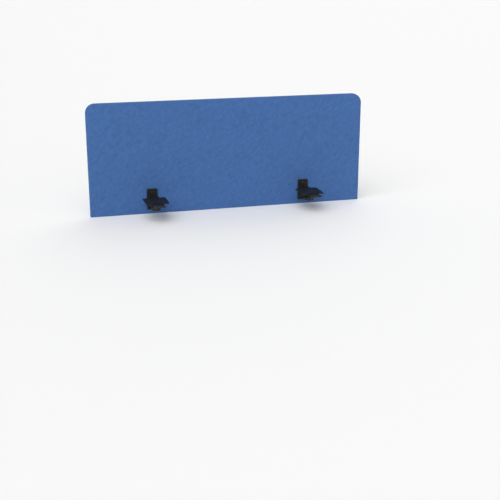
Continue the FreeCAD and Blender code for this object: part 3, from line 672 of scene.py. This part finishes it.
class Face:
    """One face of the screen: where a depth behind it is, and what presses on it."""

    def __init__(self, name, y, inward, holes=(), plates=()):
        self.name = name
        self.y = y
        self.inward = inward
        self.holes = holes
        self.plates = plates

    def place(self, x, z, depth, swollen=True):
        """Where a depth behind the face is."""
        rise = swell(x, z, self.plates) if swollen else 0
        return Vector((x, self.y + self.inward * (depth - rise), z))

    def thread(self, x, z):
        """Thread coordinates, so that the weave reads the right way round on both faces."""
        return (self.inward * x, z)

    def lay_point(self, surface, x, z, depth, swollen):
        """Adds a point of the face's flat."""
        return surface.point(self.place(x, z, depth, swollen), self.thread(x, z))

    def lay_grid(self, surface, inset, depth, swollen=True):
        """Covers the face's flat. Returns its rim, as places with a way out, and the rims of its holes."""
        across, upright = grid_lines(inset)
        made = {}

        def index_of(address):
            """The point at a grid address, made when first asked for."""
            if address not in made:
                x, z, way = in_outline(across[address[0]], upright[address[1]], inset)
                made[address] = self.lay_point(surface, x, z, depth, swollen)
            return made[address]

        def line_at(places, value):
            """The number of the grid line nearest a value."""
            return min(range(len(places)), key=lambda i: abs(places[i] - value))

        blocks = []
        for x, z, radius in self.holes:
            left, right = (line_at(across, x + step) for step in (-HOLE_BLOCK, HOLE_BLOCK))
            low, high = (line_at(upright, z + step) for step in (-HOLE_BLOCK, HOLE_BLOCK))
            blocks.append((left, right, low, high))
        for i in range(len(across) - 1):
            for j in range(len(upright) - 1):
                if not any(a <= i < b and c <= j < d for a, b, c, d in blocks):
                    cell = ((i, j), (i + 1, j), (i + 1, j + 1), (i, j + 1))
                    surface.faces.append(tuple(index_of(address) for address in cell))
        hole_rims = []
        for (x, z, radius), block in zip(self.holes, blocks):
            outer = [index_of(address) for address in around(*block)]
            inner = []
            for index in outer:
                way = Vector((surface.points[index].x - x, surface.points[index].z - z)).normalized()
                hole_x, hole_z = Vector((x, z)) + way * (radius + HOLE_CLEARANCE)
                inner.append(self.lay_point(surface, hole_x, hole_z, depth, swollen))
            surface.band(outer, inner, closed=True)
            hole_rims.append(inner)
        rim = []
        for address in around(0, len(across) - 1, 0, len(upright) - 1):
            x, z, way = in_outline(across[address[0]], upright[address[1]], inset)
            rim.append((index_of(address), x, z, way))
        return rim, hole_rims

    def lay_rings(self, surface, rim, inset, depth, profile, drawn_in=lambda x, z, depth: 0.0):
        """Carries the face on round its rim through a profile of insets and depths. Returns the last ring."""
        inner = [index for index, x, z, way in rim]
        length = 0.0
        before = (inset, depth)
        for step in profile:
            length += math.dist(before, step)
            before = step
            outer = []
            for index, x, z, (way_x, way_z) in rim:
                out = inset - step[0] - drawn_in(x, z, step[1])
                place = self.place(x + way_x * out, z + way_z * out, step[1])
                outer.append(surface.point(place, self.thread(x + way_x * length, z + way_z * length)))
            surface.band(outer, inner, closed=True)
            inner = outer
        return inner


def pucker(x, z, depth):
    """How far the seam's stitches draw the cloth in near the seam."""
    near_seam = smooth(depth / (ROLL + TUCK))
    return PUCKER * near_seam * (0.5 + noise.noise(Vector((x, z, 0)) / PUCKER_LENGTH))


def face_profile():
    """The cloth's section from a face's flat, over the padding's edge and into the seam."""
    angles = quarter_turn(BEND_PARTS)
    roll = [(ROLL * (1 - math.sin(a)), ROLL * (1 - math.cos(a))) for a in angles]
    tuck = [(TUCK * (1 - math.cos(a)), ROLL + TUCK * math.sin(a)) for a in angles]
    return roll + tuck


def make_face_cloth(face, material):
    """The cloth of one face, turned into the seam round its rim."""
    surface = Surface()
    rim = face.lay_grid(surface, ROLL, 0.0)[0]
    face.lay_rings(surface, rim, ROLL, 0.0, face_profile(), pucker)
    if face.inward < 0:
        surface.flip()
    cloth = surface.piece(f"{face.name}_cloth", "screen", material)
    thicken(cloth)
    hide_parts(f"fabric_{face.name}")


def thicken(cloth):
    """Gives the cloth its thickness, inwards."""
    solid = cloth.modifiers.new("thickness", "SOLIDIFY")
    solid.thickness = CLOTH
    solid.offset = -1


def edge_path():
    """Places of the outline with their way out, from under the right end over the top to under the left."""
    across, upright = grid_lines(0.0)
    loop = []
    for i, j in around(0, len(across) - 1, 0, len(upright) - 1):
        loop.append(in_outline(across[i], upright[j], 0.0))
    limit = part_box("closing_strip")[1].x + SEAM_GAP
    under = []
    for number, (x, z, way) in enumerate(loop):
        if z < BOTTOM + LINE_WIDTH and abs(x) < limit + STRIP_MARGIN:
            under.append(number)
    start, end = (limit, BOTTOM, (0.0, -1.0)), (-limit, BOTTOM, (0.0, -1.0))
    return [start, *loop[under[-1] + 1 :], *loop[: under[0]], end]


def band_profile():
    """The edge strip's section from seam to seam, as insets and depths."""
    start = ROLL + TUCK + SEAM_GAP
    width = BACK - FRONT
    angles = [0.0, *quarter_turn(BEND_PARTS)]
    turn = [(TUCK * (1 - math.sin(a)), start + TUCK * (1 - math.cos(a))) for a in angles]
    flat_start, flat_end = start + TUCK, width - start - TUCK
    flat = []
    for step in range(1, BAND_PARTS):
        share = step / BAND_PARTS
        flat.append((-BAND_CROWN * math.sin(math.pi * share), flat_start + (flat_end - flat_start) * share))
    return turn + flat + [(inset, width - depth) for inset, depth in reversed(turn)]


def make_edge_cloth(material):
    """The strip of cloth round the screen's sides and top, from seam to seam."""
    surface = Surface()
    path = edge_path()
    along = [0.0]
    for before, after in zip(path, path[1:]):
        along.append(along[-1] + math.dist(before[:2], after[:2]))
    width = BACK - FRONT
    rows = []
    for inset, depth in band_profile():
        row = []
        for (x, z, (way_x, way_z)), length in zip(path, along):
            drawn = pucker(x, z, ROLL + TUCK) * (2 * abs(depth / width - 0.5)) ** PUCKER_FALL
            out = -inset - drawn
            place = Vector((x + way_x * out, FRONT + depth, z + way_z * out))
            row.append(surface.point(place, (length, depth)))
        rows.append(row)
    for inner, outer in zip(rows, rows[1:]):
        surface.band(outer, inner)
    cloth = surface.piece("edge_cloth", "screen", material)
    thicken(cloth)
    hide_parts("fabric_edge_strip")


def make_padding(face, material):
    """The foam behind a face's cloth, with holes for the bushes."""
    surface = Surface()
    inset = PAD_INSET + PAD_ROUNDING
    front = CLOTH + PAD_CLEARANCE
    low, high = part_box(f"foam_{face.name}")
    back = abs((high.y if face.inward > 0 else low.y) - face.y) - PAD_CLEARANCE
    rim, holes = face.lay_grid(surface, inset, front)
    profile = []
    for angle in quarter_turn(BEND_PARTS):
        profile.append((inset - PAD_ROUNDING * math.sin(angle), front + PAD_ROUNDING * (1 - math.cos(angle))))
    last = face.lay_rings(surface, rim, inset, front, [*profile, (PAD_INSET, back)])
    back_rim, back_holes = face.lay_grid(surface, inset, back, swollen=False)
    surface.band([index for index, x, z, way in back_rim], last, closed=True)
    for hole, back_hole in zip(holes, back_holes):
        surface.band(hole, back_hole, closed=True)
    pad = surface.piece(f"{face.name}_padding", "screen", material, closed=True)
    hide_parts(f"foam_{face.name}")


# The clamps


def screw_radius(z, angle, radius):
    """The radius of a right-hand thread at a height and an angle round it."""
    turn = (z / SCREW_PITCH - angle / (2 * math.pi)) % 1
    share = SCREW_STEEPNESS * (1 - abs(2 * turn - 1)) - (SCREW_STEEPNESS - 1) / 2
    return radius - SCREW_THREAD_DEPTH * smooth(share)


def make_clamp_screw(side, material):
    """The clamp screw with its thread, and its plain tip."""
    low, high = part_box(f"clamp_stud_{side}")
    centre = (low + high) / 2
    radius = (high.x - low.x) / 2
    shoulder = high.z - SCREW_TIP_LENGTH
    surface = Surface()
    count = math.ceil((shoulder - low.z) / SCREW_PITCH * SCREW_RINGS_PER_TURN)
    rings = []
    for step in range(count + 1):
        z = low.z + (shoulder - low.z) * step / count
        room = min(radius, SCREW_TIP_RADIUS + (shoulder - z))
        rings.append(ring(surface, centre, z, SCREW_SIDES, lambda a: min(room, screw_radius(z, a, radius))))
    for z in (shoulder, high.z):
        rings.append(ring(surface, centre, z, SCREW_SIDES, lambda a: SCREW_TIP_RADIUS - SEAM_GAP))
    surface.tube(rings)
    surface.faces += [tuple(rings[-1]), tuple(reversed(rings[0]))]
    screw = surface.piece(f"clamp_screw_{side}", f"knob_{side}", material, closed=True)
    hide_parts(f"clamp_stud_{side}")


def lobed_radius(angle, radius):
    """The outline of a star knob, with a finger hollow at angle 0 and every sixth of a turn."""
    hollow = (0.5 + 0.5 * math.cos(KNOB_LOBES * angle)) ** KNOB_HOLLOW_SHARPNESS
    return radius - KNOB_HOLLOW * hollow


def knob_radius(angle, outer, circle, share, inset):
    """A radius between a circle's, at share 0, and the inset lobed outline's, at share 1."""
    return circle + share * (lobed_radius(angle, outer) - inset - circle)


def knob_profile(top, bottom, bore):
    """Rings of a star knob from its bore, over the hub and the lobes, to the middle of its lower face.

    Each is a circle's radius, the share of the lobed outline, that outline's inset, and a height."""
    hub, chamfer = KNOB_HUB_RADIUS, KNOB_GROOVE
    shoulder = top - KNOB_HUB_HEIGHT
    rings = [(bore, 0, 0, top - KNOB_BORE_DEPTH), (bore, 0, 0, top), (hub - chamfer, 0, 0, top)]
    rings += [(hub, 0, 0, top - chamfer), (hub, 0, 0, shoulder + chamfer), (hub + chamfer, 0, 0, shoulder)]
    rings += [(hub + chamfer, share, KNOB_TOP_ROUNDING, shoulder) for share in (0.25, 0.5, 0.75, 1)]
    angles = quarter_turn(KNOB_BEND_PARTS)
    for a in angles:
        inset = KNOB_TOP_ROUNDING * (1 - math.sin(a))
        rings.append((0, 1, inset, shoulder - KNOB_TOP_ROUNDING * (1 - math.cos(a))))
    upper, lower = shoulder - KNOB_TOP_ROUNDING, bottom + KNOB_DISH + KNOB_LOWER_ROUNDING
    middle, ridge = (upper + lower) / 2, 2 * KNOB_PARTING
    rings += [(0, 1, KNOB_TAPER / 2, middle + ridge), (0, 1, KNOB_TAPER / 2 - KNOB_PARTING, middle)]
    rings += [(0, 1, KNOB_TAPER / 2, middle - ridge), (0, 1, KNOB_TAPER, lower)]
    for a in angles:
        inset = KNOB_TAPER + KNOB_LOWER_ROUNDING * (1 - math.cos(a))
        rings.append((0, 1, inset, lower - KNOB_LOWER_ROUNDING * math.sin(a)))
    rim = KNOB_TAPER + KNOB_LOWER_ROUNDING
    cap, groove = KNOB_CAP_RADIUS, KNOB_GROOVE
    for share in (0.75, 0.5, 0.25, 0):
        rings.append((cap + groove, share, rim, bottom + KNOB_DISH * share * share))
    rings += [(cap + groove / 2, 0, 0, bottom + groove), (cap, 0, 0, bottom + groove)]
    rings += [(radius, 0, 0, bottom) for radius in (cap - groove, cap * 0.6, cap * 0.3)]
    return rings


def make_star_knob(side, material):
    """The hand knob: rounded lobes, a hub round the screw, a mould's parting line and a cap underneath."""
    low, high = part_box(f"star_knob_{side}")
    screw_low, screw_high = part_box(f"clamp_stud_{side}")
    centre = (low + high) / 2
    outer = (high.y - low.y) / 2
    bore = (screw_high.x - screw_low.x) / 2 + SEAM_GAP
    surface = Surface()
    rings = []
    for *shape, z in knob_profile(high.z, low.z, bore):
        rings.append(ring(surface, centre, z, KNOB_SIDES, lambda angle: knob_radius(angle, outer, *shape)))
    surface.tube(rings)
    surface.faces += [tuple(rings[0]), tuple(reversed(rings[-1]))]
    knob = surface.piece(f"hand_knob_{side}", f"knob_{side}", material, closed=True)
    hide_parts(f"star_knob_{side}")


def make_weld_bead(name, left, right, corner_y, corner_z, up, material):
    """A rippled bead along X in the corner between a plate and an arm."""
    surface = Surface()
    count = math.ceil((right - left) / BEAD_STEP)
    rows = []
    for step in range(count + 1):
        x = left + (right - left) * step / count
        row = [surface.point(Vector((x, corner_y, corner_z)))]
        end = min(x - left, right - x) / BEAD_RADIUS
        swollen = math.sqrt(1 - (1 - min(end, 1.0)) ** 2)
        drift = BEAD_DRIFT * noise.noise(Vector((x, up, 0)) / BEAD_PITCH / BEAD_DRIFT_LENGTH)
        for angle in (0.0, *quarter_turn(BEAD_SIDES)):
            bulge = math.sin(2 * angle)
            phase = x / BEAD_PITCH + BEAD_CURVE * bulge + drift
            ripple = BEAD_RIPPLE * bulge * abs(math.sin(math.pi * phase))
            radius = (BEAD_RADIUS + ripple) * max(swollen, BEAD_TIP)
            place = (x, corner_y - radius * math.cos(angle), corner_z + up * radius * math.sin(angle))
            row.append(surface.point(Vector(place)))
        rows.append(row)
    surface.tube(rows)
    surface.faces += [tuple(rows[0]), tuple(reversed(rows[-1]))]
    surface.piece(name, "screen", material, closed=True)


def make_weld_beads(side, material):
    """One bead on the arm, and one on each side of the gusset under it."""
    low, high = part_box(f"bracket_{side}")
    plate_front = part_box(f"bolt_washers_{side}")[1].y
    cap_low, cap_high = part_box(f"arm_end_cap_{side}")
    arm_middle = (cap_low.z + cap_high.z) / 2
    middle = (low.x + high.x) / 2
    left, right = low.x + BEAD_END, high.x - BEAD_END
    make_weld_bead(f"arm_weld_{side}", left, right, plate_front, arm_middle + ARM_HALF, 1, material)
    under = arm_middle - ARM_HALF
    make_weld_bead(f"under_weld_a_{side}", left, middle - GUSSET_HALF, plate_front, under, -1, material)
    make_weld_bead(f"under_weld_b_{side}", middle + GUSSET_HALF, right, plate_front, under, -1, material)


def finish_cad_nodes(materials, bolts):
    """Gives every CAD node the material of its slot, and the bolts and washers their own."""
    for part in frame["record"]["subparts"]:
        name = part["node"]
        is_bolt = name.startswith(("bracket_bolts", "bolt_washers"))
        mesh = frame["nodes"][name].data
        mesh.materials.clear()
        mesh.materials.append(bolts if is_bolt else materials[part["material_slot"]])


make_camera()
make_lights()
make_floor()
bpy.context.scene.view_settings.view_transform = "Standard"

finishes = {
    "cloth_blue": cloth_material(),
    "padding": foam_material(),
    "board": board_material(),
    "black_steel": powder_coat_material(),
    "zinc_steel": zinc_material(),
    "brass": brass_material(),
    "black_plastic": plastic_material(),
}
finish_cad_nodes(finishes, black_oxide_material())

front_face = Face("front", FRONT, 1, BOLT_HOLES, PLATES)
back_face = Face("back", BACK, -1)
for screen_face in (front_face, back_face):
    make_face_cloth(screen_face, finishes["cloth_blue"])
    make_padding(screen_face, finishes["padding"])
make_edge_cloth(finishes["cloth_blue"])
for clamp_side in SIDES:
    make_clamp_screw(clamp_side, finishes["zinc_steel"])
    make_star_knob(clamp_side, finishes["black_plastic"])
    make_weld_beads(clamp_side, finishes["black_steel"])
